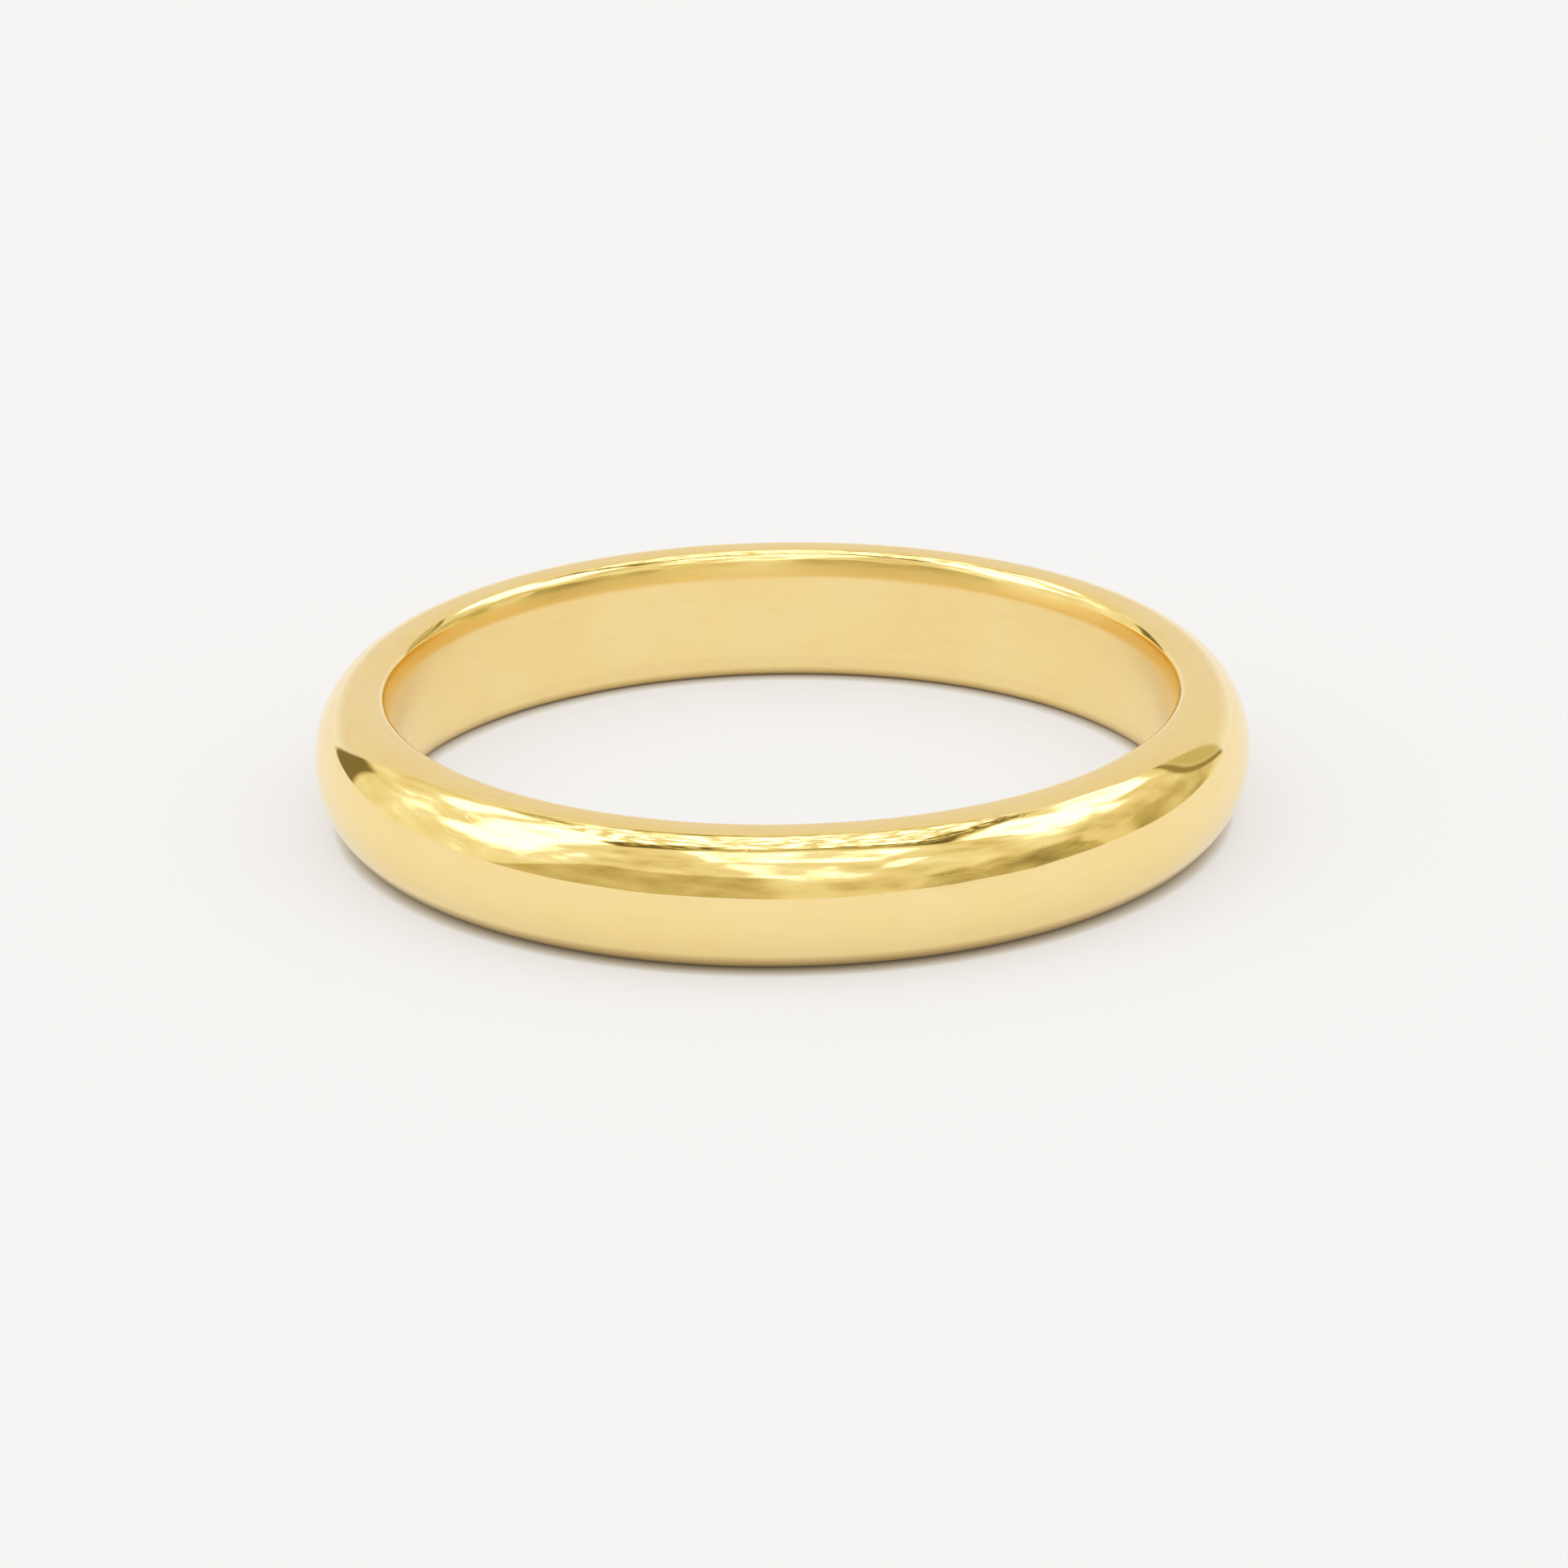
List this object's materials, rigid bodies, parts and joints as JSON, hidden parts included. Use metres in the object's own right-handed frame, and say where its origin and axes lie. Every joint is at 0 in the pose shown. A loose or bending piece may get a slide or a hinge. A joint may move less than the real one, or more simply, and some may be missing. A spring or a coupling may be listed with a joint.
{
  "type": "wedding band",
  "caption": "Plain polished yellow gold finger ring with a domed outside and a smooth bore with softly rounded edges.",
  "frame": {"origin": "on the ring's axis, at the plane of the lower rim that the ring lies on", "axes": "+Z along the ring's axis, from the lower rim to the upper rim; X and Y are any two directions across the ring"},
  "size_m": [0.0202, 0.0202, 0.003],
  "materials": {
    "gold": "highly polished 18 carat yellow gold with fine polishing marks"
  },
  "bodies": {
    "root": {"band": "gold"}
  },
  "joints": []
}
